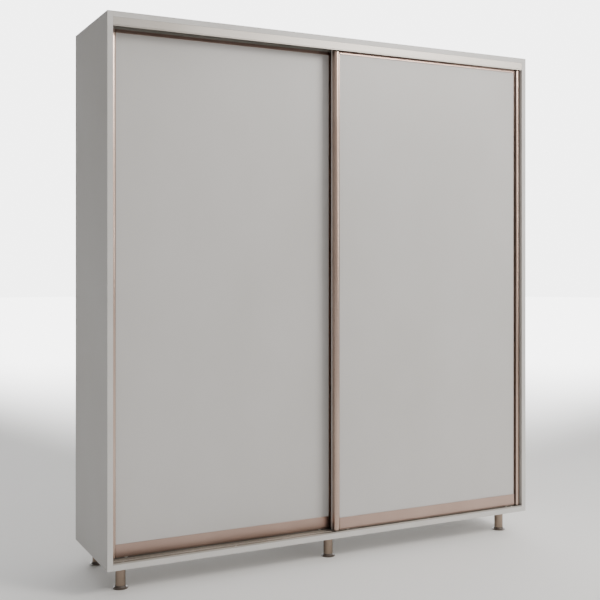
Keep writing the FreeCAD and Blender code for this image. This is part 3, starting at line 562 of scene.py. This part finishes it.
def bristle_tree():
    """Rows of tapered filaments that stand on a strip, each a little off straight."""
    sockets = [("Length", "NodeSocketFloat", 2.0), ("Width", "NodeSocketFloat", 0.006),
               ("Pitch", "NodeSocketFloat", 0.002), ("Rows", "NodeSocketInt", 5),
               ("Filament", "NodeSocketFloat", 0.001), ("Thickness", "NodeSocketFloat", 0.0003),
               ("Splay", "NodeSocketFloat", 0.25), ("Seed", "NodeSocketInt", SEED),
               ("Finish", "NodeSocketMaterial", None)]
    tree, given, result = new_tree("brush_filaments", sockets)
    steps = add_node(tree, "ShaderNodeMath", {"operation": "DIVIDE"})
    tree.links.new(given.outputs["Length"], steps.inputs[0])
    tree.links.new(given.outputs["Pitch"], steps.inputs[1])
    strip = add_node(tree, "GeometryNodeMeshGrid",
                     links={"Size X": (given, "Width"), "Size Y": (given, "Length"),
                            "Vertices X": (given, "Rows"), "Vertices Y": (steps, "Value")})
    filament = add_node(tree, "GeometryNodeMeshCone", {"fill_type": "NGON"},
                        {"Vertices": 4, "Side Segments": 1, "Radius Top": 0.00008},
                        {"Radius Bottom": (given, "Thickness"), "Depth": (given, "Filament")})
    lean = add_node(tree, "FunctionNodeRandomValue", {"data_type": "FLOAT_VECTOR"},
                    {"Min": (-1.0, -1.0, -3.0), "Max": (1.0, 1.0, 3.0)}, {"Seed": (given, "Seed")})
    splay = add_node(tree, "ShaderNodeVectorMath", {"operation": "SCALE"})
    tree.links.new(lean.outputs["Value"], splay.inputs[0])
    tree.links.new(given.outputs["Splay"], splay.inputs["Scale"])
    turn = add_node(tree, "FunctionNodeEulerToRotation", links={"Euler": (splay, "Vector")})
    placed = add_node(tree, "GeometryNodeInstanceOnPoints",
                      links={"Points": (strip, "Mesh"), "Instance": (filament, "Mesh"),
                             "Rotation": (turn, "Rotation")})
    solid = add_node(tree, "GeometryNodeRealizeInstances", links={"Geometry": (placed, "Instances")})
    finished = add_node(tree, "GeometryNodeSetMaterial",
                        links={"Geometry": (solid, "Geometry"), "Material": (given, "Finish")})
    tree.links.new(finished.outputs["Geometry"], result.inputs["Geometry"])
    return tree


FASTENERS = fastener_tree()
BRISTLES = bristle_tree()


def on_points(name, master, spots, finish):
    """A piece with the master mesh set at each spot = (place, the way its +Z points)."""
    mesh = bpy.data.meshes.new(name + "_points")
    mesh.from_pydata([tuple(place) for place, _ in spots], [], [])
    facing = mesh.attributes.new("facing", "FLOAT_VECTOR", "POINT")
    for item, (_, way) in zip(facing.data, spots):
        item.vector = way
    holder = bpy.data.objects.new(name + "_master", master)
    bpy.context.scene.collection.objects.link(holder)
    values = {"Fastener": holder, "Seed": SEED, "Size": 1.0, "Finish": finish}
    piece = grown(name, mesh, FASTENERS, values)
    bpy.data.objects.remove(holder)
    return piece


def pan_screw(radius, head, shank_radius, reach):
    """A pan head screw with a cross recess: the head's underside at zero, the shank along -Z."""
    outline = [(0, -reach), (0.3 * shank_radius, -reach), (shank_radius, -reach + 2 * shank_radius),
               (shank_radius, 0), (radius, 0), (radius, 0.35 * head), (0.86 * radius, 0.78 * head),
               (0.55 * radius, head)]
    return crossed_head("pan_screw", outline, radius, head)


def cross_well(bm, arm, notch, height, depth, taper):
    """A four-armed well, cut down from that height and tapered; returns its rim's vertices."""
    cross = []
    for quarter in range(4):
        turn = Matrix.Rotation(quarter * math.pi / 2, 3, "Z")
        cross += [turn @ Vector(p) for p in ((arm, -notch, 0), (arm, notch, 0), (notch, notch, 0))]
    top = [bm.verts.new(point + Vector((0, 0, height))) for point in cross]
    low = [bm.verts.new(point * taper + Vector((0, 0, height - depth))) for point in cross]
    for index in range(len(cross)):
        after = (index + 1) % len(cross)
        bm.faces.new((top[index], top[after], low[after], low[index]))
    bm.faces.new(low)
    return top


def crossed_head(name, outline, radius, head):
    """Turns a screw's outline and closes its crown with a cross recess."""
    bm = bmesh.new()
    lathe(bm, outline, Matrix.Identity(4), segments=24)
    crown = max(point[0] for point in outline if point[1] == head and point[0] < 0.6 * radius)
    rim = [vert for vert in bm.verts
           if abs(vert.co.z - head) < 1e-7 and vert.co.xy.length < crown + 1e-6]
    top = cross_well(bm, 0.46 * radius, 0.12 * radius, head, 0.75 * head, 0.45)
    ring = [edge for edge in bm.edges if all(v in rim for v in edge.verts)]
    mouth = [edge for edge in bm.edges if all(v in top for v in edge.verts)]
    bmesh.ops.bridge_loops(bm, edges=ring + mouth)
    bmesh.ops.recalc_face_normals(bm, faces=bm.faces)
    mark_sharp(bm, set(), math.radians(38))
    return mesh_of(bm, name)


def countersunk_screw(radius, head, shank_radius, reach):
    """A countersunk screw: its flat crown stands at the head's height, and it has the same recess."""
    outline = [(0, -reach), (0.3 * shank_radius, -reach), (shank_radius, -reach + 2 * shank_radius),
               (shank_radius, 0), (radius, 0.88 * head), (radius, head), (0.56 * radius, head)]
    return crossed_head("countersunk_screw", outline, radius, head)


def screw_group(node, name, head, way_of, make_screw):
    """Every screw of a CAD node as a detailed screw of the same size, in the same place."""
    spots = []
    for low, high in islands(node):
        way = Vector(way_of(low, high))
        centre = (low + high) / 2
        axis = max(range(3), key=lambda i: abs(way[i]))
        size = high - low
        cross = [size[i] for i in range(3) if i != axis]
        tip = centre + way * size[axis] / 2
        seat = tip - way * (size[axis] - head)
        spots.append((seat, -way, max(cross) / 2, size[axis] - head))
    radius, reach = spots[0][2], spots[0][3]
    master = make_screw(radius, head, 0.42 * radius, reach)
    piece = on_points(name, master, [spot[:2] for spot in spots], SCREW_ZINC)
    return settle(piece, node)


# ---------------------------------------------------------------- carcass

def board_faces(face, low, high):
    """Melamine on the two faces, edging on the front, chipboard behind and inside the bores."""
    middle = face.calc_center_median()
    if face.normal.y < -0.7 and abs(middle.y - low[1]) < 1 * MM:
        return 1
    if face.normal.y > 0.7 and abs(middle.y - high[1]) < 1 * MM:
        return 2
    inside = all(low[i] + 1 * MM < middle[i] < high[i] - 1 * MM for i in range(3))
    return 2 if inside else 0


def carcass_boards():
    """Sides, top, bottom, divider and shelves: faced boards with a banded front edge."""
    for node in ("left_side_panel", "right_side_panel", "top_panel", "bottom_panel", "centre_divider",
                 "hat_shelf_left", "hat_shelf_right", "lower_shelf", "middle_shelf", "upper_shelf"):
        eased(node, node + "_board", BOARD_EASE, is_border, [MELAMINE, EDGE_BAND, CORE], board_faces)
    for node in ("back_panel_left", "back_panel_right"):
        eased(node, node + "_sheet", SECTION_EASE, is_border, [HARDBOARD])


def cam_mesh(radius, depth):
    """A cam disc with its crown at zero and a cross slot in it."""
    bm = bmesh.new()
    profile = [(0, -depth), (radius - CAM_EASE, -depth), (radius, -depth + CAM_EASE),
               (radius, -0.6 * MM), (radius - 0.6 * MM, 0), (0, 0)]
    lathe(bm, profile, Matrix.Identity(4), segments=32)
    crown = [face for face in bm.faces if all(vert.co.z > -1e-7 for vert in face.verts)]
    bmesh.ops.delete(bm, geom=crown, context="FACES")
    arm, half, deep = CAM_SLOT
    cross_well(bm, arm, half, 0, deep, 0.85)
    bmesh.ops.delete(bm, geom=[vert for vert in bm.verts if not vert.link_faces], context="VERTS")
    bmesh.ops.bridge_loops(bm, edges=[edge for edge in bm.edges if len(edge.link_faces) == 1])
    bmesh.ops.recalc_face_normals(bm, faces=bm.faces)
    mark_sharp(bm, set(), math.radians(38))
    return mesh_of(bm, "cam")


def cam_fittings():
    """Cams sunk in the boards' faces, and the bolts that they draw up."""
    solids = islands("cam_fittings")
    cams = [box for box in solids if max(box[1] - box[0]) < 20 * MM]
    size = cams[0][1] - cams[0][0]
    depth = min(size)
    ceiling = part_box("top_panel")[0][2]
    spots = []
    for low, high in cams:
        centre = (low + high) / 2
        if abs(high.z - low.z - depth) > 0.5 * MM:
            spots.append((Vector((high.x, centre.y, centre.z)), Vector((1, 0, 0))))
        elif abs(low.z - ceiling) < 1 * MM:
            spots.append((Vector((centre.x, centre.y, low.z)), Vector((0, 0, -1))))
        else:
            spots.append((Vector((centre.x, centre.y, high.z)), Vector((0, 0, 1))))
    settle(on_points("cam_discs", cam_mesh(size.x / 2, depth), spots, CAM_ZINC), "cam_fittings")
    parts = []
    for low, high in solids:
        if (low, high) in cams:
            continue
        size = high - low
        axis = max(range(3), key=lambda i: size[i])
        length = size[axis]
        thick = min(size) / 2
        centre = list((low + high) / 2)
        centre[axis] = low[axis]
        profile = rounded([(0, 0), (thick, 0), (thick, 0.42 * length), (0.72 * thick, 0.46 * length),
                           (0.72 * thick, length), (0, length)], 0.4 * MM)
        parts.append((profile, turn_about("xyz"[axis], centre), False, 0))
    settle(turned_piece("cam_bolts", parts, [SCREW_ZINC], 20), "cam_fittings")


def shelf_pins():
    """Rounded pins in the sides, under the shelves."""
    pins = []
    for low, high in islands("shelf_pins"):
        radius = (high.z - low.z) / 2
        start = (low.x, (low.y + high.y) / 2, (low.z + high.z) / 2)
        length = high.x - low.x
        profile = rounded([(0, 0), (radius, 0), (radius, length), (0, length)], 0.5 * MM)
        pins.append((profile, turn_about("x", start), False, 0))
    settle(turned_piece("shelf_pin_set", pins, [CAM_ZINC], 24), "shelf_pins")


def carcass_screws():
    """Every screw of the carcass: its back, its legs and its tracks."""
    middle = sum(corner[2] for corner in CAD_BOX) / 2
    screw_group("back_panel_screws", "back_screw_set", SUNK_HEAD, lambda low, high: (0, -1, 0),
                countersunk_screw)
    screw_group("leg_screws", "leg_screw_set", LEG_SCREW_HEAD, lambda low, high: (0, 0, 1), pan_screw)
    screw_group("track_screws", "track_screw_set", SCREW_HEAD,
                lambda low, high: (0, 0, 1 if low.z > middle else -1), pan_screw)


def hanging_rail():
    """Chromed tube in two cast sockets with rounded flanges."""
    low, high = corners("clothes_rail")
    radius = (high.z - low.z) / 2
    length = high.x - low.x
    start = (low.x, (low.y + high.y) / 2, (low.z + high.z) / 2)
    tube = rounded([(radius - RAIL_WALL, 0), (radius, 0), (radius, length),
                    (radius - RAIL_WALL, length)], 0.4 * MM, closed=True)
    rail = turned_piece("clothes_rail_tube", [(tube, turn_about("x", start), True, 0)], [RAIL_CHROME])
    settle(rail, "clothes_rail")
    parts = []
    screws = []
    bay_middle = (low.x + high.x) / 2
    bore = radius + 0.3 * MM
    cup = bore + SOCKET_WALL
    for box_low, box_high in islands("rail_sockets"):
        size = box_high - box_low
        centre = (box_low + box_high) / 2
        inward = 1 if centre.x < bay_middle else -1
        if size.z < 15 * MM:
            seat_x = box_high.x - SCREW_HEAD if inward > 0 else box_low.x + SCREW_HEAD
            screws.append((Vector((seat_x, centre.y, centre.z)), Vector((inward, 0, 0))))
            continue
        flange = size.z / 2
        outline = rounded([(0, 0), (flange, 0), (flange, SOCKET_FLANGE),
                           (cup, SOCKET_FLANGE + 1 * MM), (cup, size.x), (bore, size.x),
                           (bore, SOCKET_FLANGE), (0, SOCKET_FLANGE)], 0.9 * MM)
        base = box_low.x if inward > 0 else box_high.x
        turn = Matrix.Translation(Vector((base, centre.y, centre.z)))
        turn = turn @ Matrix.Rotation(inward * math.pi / 2, 4, "Y")
        parts.append((outline, turn, False, 0))
    settle(turned_piece("rail_socket_pair", parts, [CAM_ZINC]), "rail_sockets")
    master = pan_screw(3.5 * MM, SCREW_HEAD, 1.7 * MM, 17 * MM)
    settle(on_points("rail_socket_screws", master, screws, SCREW_ZINC), "rail_sockets")


def shaded_lane_faces(face, low, high):
    """Inside the floor track's lips the lanes get a darker colour: painted shade for the shadow that
    falls between the lips.
    """
    return 1 if low[1] + 1.5 * MM < face.calc_center_median().y < high[1] - 1.5 * MM else 0


def tracks():
    """Head track and floor track, their long corners rounded, and the four stops."""
    eased("top_track", "head_track", SECTION_EASE, is_long, [TRACK_METAL])
    # the faces between the lips take the darker lane colour, which is painted shade
    eased("bottom_track", "floor_track", SECTION_EASE, is_long, [TRACK_METAL, SHADED_LANE_METAL], shaded_lane_faces)
    middle = sum(corner[0] for corner in CAD_BOX) / 2
    bm = bmesh.new()
    for low, high in islands("track_stops"):
        body_low, body_high, pad_low, pad_high = (corner.copy() for corner in (low, high, low, high))
        if (low.x + high.x) / 2 < middle:
            body_high.x = pad_low.x = high.x - STOP_PAD
        else:
            body_low.x = pad_high.x = low.x + STOP_PAD
        block_mesh(bm, body_low, body_high, 0.8 * MM, 0)
        block_mesh(bm, pad_low, pad_high, 1.4 * MM, 1)
    bm.normal_update()
    mark_sharp(bm, set(), math.radians(40))
    stops = add_piece("track_stop_set", mesh_of(bm, "track_stop_set"), [BRACKET_ZINC, RUBBER])
    settle(stops, "track_stops")


def tube_leg(node):
    """A tube welded to a plate, with a threaded end; returns the place of its axis."""
    low, high = corners(node)
    plate = (high.x - low.x) / 2
    weld = 2.5 * MM
    shoulder = high.z - LEG_PLATE
    end = low.z + LEG_END
    outside = rounded([
        (LEG_BORE, low.z), (LEG_TUBE, low.z), (LEG_TUBE, shoulder - weld),
        (LEG_TUBE + weld, shoulder), (plate, shoulder), (plate, high.z), (0, high.z),
    ], 0.5 * MM)
    inner = LEG_TUBE - LEG_WALL
    inside = [(LEG_BORE, end), (inner, end), (inner, shoulder), (0, shoulder)]
    turn = Matrix.Translation(Vector(((low.x + high.x) / 2, (low.y + high.y) / 2, 0)))
    leg = turned_piece(node + "_tube", [(outside[::-1] + inside, turn, True, 0)], [LEG_METAL], 96)
    settle(leg, node)
    return turn


def levelling_foot(node, turn):
    """A flared disc on a stud that runs up into the leg."""
    low, high = corners(node)
    rim = (high.x - low.x) / 2
    flare = [(rim - (rim - LEG_TUBE) * math.sin(a), FOOT_HEIGHT - FOOT_FLARE * math.cos(a))
             for a in (math.pi / 2 * step / 10 for step in range(11))]
    profile = rounded([(0, 0), (rim, 0), (rim, FOOT_RIM)], 0.8 * MM) + flare
    profile += [(FOOT_STUD, FOOT_HEIGHT), (FOOT_STUD, high.z - 1 * MM),
                (FOOT_STUD - 1 * MM, high.z), (0, high.z)]
    foot = turned_piece(node + "_disc", [(profile, turn, False, 0)], [FOOT_PLASTIC], 96)
    settle(foot, node)


def legs_and_feet():
    """Three legs in front and three behind, each on its foot."""
    for row in ("front", "rear"):
        for tag in ("left", "centre", "right"):
            turn = tube_leg(f"{row}_{tag}_leg")
            levelling_foot(f"{row}_{tag}_foot", turn)


# ---------------------------------------------------------------- doors

def door_frame(door):
    """Stiles, rails and the board panel, in the extrusions' own shape."""
    for side in SIDES:
        node = f"{door}_{side}_stile"
        eased(node, f"{door}_{side}_pull_stile", SECTION_EASE, is_long, [STILE_METAL])
    for level in ("top", "bottom"):
        node = f"{door}_{level}_rail"
        eased(node, f"{door}_{level}_frame_rail", SECTION_EASE, is_long, [RAIL_METAL])
    eased(door + "_panel", door + "_board", SECTION_EASE, is_border, [DOOR_MELAMINE])


def door_seals(door):
    """Two brush seals: a woven backing with rows of filaments."""
    for side, (low, high) in zip(SIDES, islands(door + "_brush_seals")):
        size = high - low
        outward = -1 if side == "left" else 1
        root = (low + high) / 2
        root.x = (high.x if side == "left" else low.x) + outward * BRUSH_BACKING
        base = bpy.data.meshes.new("brush_base")
        values = {"Length": size.z - 2 * MM, "Width": size.y - 1.2 * MM, "Pitch": 1.6 * MM, "Rows": 6,
                  "Filament": size.x - BRUSH_BACKING - 0.15 * MM, "Thickness": 0.28 * MM,
                  "Splay": 0.2, "Seed": SEED, "Finish": PILE}
        piece = grown(f"{door}_{side}_brush", base, BRISTLES, values)
        # the strip lies in XY with the filaments along +Z; it is stood up against the stile
        axes = Matrix(((0, 0, outward, 0), (outward, 0, 0, 0), (0, 1, 0, 0), (0, 0, 0, 1)))
        piece.data.transform(Matrix.Translation(root) @ axes)
        bm = bmesh.new()
        bm.from_mesh(piece.data)
        strip_low, strip_high = low.copy(), high.copy()
        if side == "left":
            strip_low.x = root.x
        else:
            strip_high.x = root.x
        block_mesh(bm, strip_low, strip_high, 0.1 * MM)
        bm.to_mesh(piece.data)
        bm.free()
        settle(piece, door + "_brush_seals")


def wheel(node, name, axis, half_outline, ease):
    """A nylon wheel, alike on both sides: half_outline(low, high) draws one side for that box."""
    low, high = corners(node)
    near = half_outline(low, high)
    outline = rounded(near + [(r, -z) for r, z in reversed(near)], ease, closed=True)
    turn = turn_about(axis, (low + high) / 2)
    settle(turned_piece(name, [(outline, turn, True, 0)], [NYLON], 72), node)


def roller_outline(low, high):
    """Hub, dished web, rim, and the groove that rides the track's rib."""
    half = (high.y - low.y) / 2
    return [(ROLLER_BORE, half), (6 * MM, half), (6.6 * MM, half - ROLLER_DISH),
            (9.9 * MM, half - ROLLER_DISH), (10.5 * MM, half), (ROLLER_RIM, half),
            (ROLLER_RIM, half - ROLLER_DISH), (ROLLER_TREAD, 2 * MM)]


def guide_outline(low, high):
    """Hub, dished web, and a plain rim with a chamfer."""
    half = (high.z - low.z) / 2
    radius = (high.x - low.x) / 2
    return [(GUIDE_BORE, half), (5 * MM, half), (5.5 * MM, half - GUIDE_DISH),
            (radius - 3.1 * MM, half - GUIDE_DISH), (radius - 2.6 * MM, half),
            (radius - 0.6 * MM, half), (radius, half - GUIDE_DISH)]


def is_plate_edge(edge, low, high):
    """True for a sharp straight edge of a bracket, but not for the short steps round a hole."""
    return edge.calc_length() > 1.9 * MM and edge.calc_face_angle(0) > math.radians(60)


def door_running_gear(door):
    """Grooved rollers and guide wheels on their brackets, and the frame's screws."""
    low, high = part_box(door + "_panel")
    middle = (low[0] + high[0]) / 2
    screw_group(door + "_frame_screws", door + "_frame_screw_set", FRAME_SCREW_HEAD,
                lambda a, b: (1 if (a.x + b.x) / 2 < middle else -1, 0, 0), pan_screw)
    for kind, name in (("roller_brackets", "roller_housings"), ("guide_brackets", "guide_plates")):
        eased(f"{door}_{kind}", f"{door}_{name}", PRESSED_EASE, is_plate_edge, [BRACKET_ZINC])
    for side in SIDES:
        wheel(f"{door}_roller_{side}", f"{door}_roller_wheel_{side}", "y", roller_outline, 0.3 * MM)
        wheel(f"{door}_guide_wheel_{side}", f"{door}_guide_roller_{side}", "z", guide_outline,
              0.25 * MM)


# ---------------------------------------------------------------- studio

def softbox(name, place, target, width, height, power, colour):
    """One soft rectangular lamp aimed at a target."""
    light = bpy.data.lights.new(name, "AREA")
    light.shape = "RECTANGLE"
    light.size = width
    light.size_y = height
    light.energy = power
    light.color = linear(colour)[:3]
    lamp = bpy.data.objects.new(name, light)
    lamp.location = place
    lamp.rotation_euler = (Vector(target) - Vector(place)).to_track_quat("-Z", "Y").to_euler()
    bpy.context.scene.collection.objects.link(lamp)


def turned_to(tree, source, output, way, span, values=(0.0, 1.0), kind="SMOOTHSTEP"):
    """How far a direction turns to that way: their dot product, mapped from span to values."""
    dot = add_node(tree, "ShaderNodeVectorMath", {"operation": "DOT_PRODUCT"}, {1: way},
                   {0: (source, output)})
    mapped = {"From Min": span[0], "From Max": span[1], "To Min": values[0], "To Max": values[1]}
    return add_node(tree, "ShaderNodeMapRange", {"interpolation_type": kind}, mapped,
                    {"Value": (dot, "Value")})


def studio_room():
    """The room's own light: a bright backdrop behind, a dim left side, less light from below."""
    world = bpy.data.worlds.new("studio")
    bpy.context.scene.world = world
    world.use_nodes = True
    tree = world.node_tree
    background = tree.nodes["Background"]
    way = add_node(tree, "ShaderNodeTexCoord")
    split = add_node(tree, "ShaderNodeSeparateXYZ", links={"Vector": (way, "Generated")})
    height = add_node(tree, "ShaderNodeMapRange", inputs={"From Min": -0.25, "From Max": 0.6},
                      links={"Value": (split, "Z")})
    walls = ramp(tree, height, "Result", [(0.0, linear("#8A7C72")), (0.3, linear("#B5ACA5")),
                                          (0.6, linear("#F0EEEC")), (1.0, linear("#FFFFFF"))])
    sideways = turned_to(tree, way, "Generated", DARK_SIDE, (-0.15, 0.6), (1.0, 0.16), "LINEAR")
    ceiling = add_node(tree, "ShaderNodeMapRange", inputs={"From Min": 0.1, "From Max": 0.9,
                                                           "To Min": 1.0, "To Max": 1.4},
                       links={"Value": (split, "Z")})
    lit = add_node(tree, "ShaderNodeVectorMath", {"operation": "SCALE"},
                   links={"Vector": (walls, "Color"), "Scale": (ceiling, "Result")})
    dimmed = add_node(tree, "ShaderNodeVectorMath", {"operation": "SCALE"},
                      links={"Vector": (lit, "Vector"), "Scale": (sideways, "Result")})
    backdrop = turned_to(tree, way, "Generated", AWAY_FROM_CAMERA, (0.75, 0.92))
    glow = BACKDROP / ROOM
    room = add_node(tree, "ShaderNodeMix", {"data_type": "RGBA"}, {7: (glow, glow, glow, 1.0)},
                    {0: (backdrop, "Result"), 6: (dimmed, "Vector")})
    tree.links.new(room.outputs[2], background.inputs["Color"])
    background.inputs["Strength"].default_value = ROOM


def studio_floor():
    """A pale painted floor; far behind, it is lit up like the backdrop, so that no horizon shows."""
    bm = bmesh.new()
    bmesh.ops.create_circle(bm, cap_ends=True, cap_tris=False, segments=96, radius=30.0)
    material, tree, shader = new_material("studio_floor_paint", Roughness=0.9)
    mottle = stretched_noise(tree, (1.5, 1.5, 1.5))
    dress(tree, shader, mottle, "#EFEEEC", "#F2F1EF", mottle, None)
    place = add_node(tree, "ShaderNodeTexCoord")
    reach = add_node(tree, "ShaderNodeVectorMath", {"operation": "LENGTH"},
                     links={"Vector": (place, "Object")})
    far = add_node(tree, "ShaderNodeMapRange", {"interpolation_type": "SMOOTHSTEP"},
                   {"From Min": 1.5, "From Max": 9.0}, {"Value": (reach, "Value")})
    heading = add_node(tree, "ShaderNodeVectorMath", {"operation": "NORMALIZE"},
                       links={"Vector": (place, "Object")})
    behind = turned_to(tree, heading, "Vector", AWAY_FROM_CAMERA, (0.76, 0.92))
    glow = add_node(tree, "ShaderNodeMath", {"operation": "MULTIPLY"},
                    links={0: (far, "Result"), 1: (behind, "Result")})
    strength = add_node(tree, "ShaderNodeMath", {"operation": "MULTIPLY"}, {1: BACKDROP},
                        {0: (glow, "Value")})
    shader.inputs["Emission Color"].default_value = (1.0, 1.0, 1.0, 1.0)
    tree.links.new(strength.outputs["Value"], shader.inputs["Emission Strength"])
    floor = add_piece("studio_floor", mesh_of(bm, "studio_floor"), [material])
    floor.location.z = -0.5 * MM


def studio_camera():
    """The camera at the front left, level, with its frame shifted a little down."""
    data = bpy.data.cameras.new("camera")
    data.sensor_width = 36.0
    data.lens = CAMERA_LENS
    data.shift_y = CAMERA_SHIFT
    camera = bpy.data.objects.new("camera", data)
    camera.location = CAMERA_PLACE
    camera.rotation_euler = (math.pi / 2, 0, -math.radians(CAMERA_HEADING))
    bpy.context.scene.collection.objects.link(camera)
    bpy.context.scene.camera = camera


def studio():
    """Floor, room, soft lamps from the upper right and front, and the camera."""
    studio_floor()
    studio_room()
    softbox("key", (2.6, -3.8, 3.7), (0.1, 0, 1.7), 1.7, 1.5, 178, "#FFFBF6")
    softbox("right_strip", (4.2, -4.0, 1.8), (0.9, -0.2, 1.6), 0.8, 1.4, 32, "#FFFDFB")
    studio_camera()


# ---------------------------------------------------------------- making

carcass_boards()
cam_fittings()
shelf_pins()
carcass_screws()
hanging_rail()
tracks()
legs_and_feet()
for door in DOORS:
    door_frame(door)
    door_seals(door)
    door_running_gear(door)
studio()
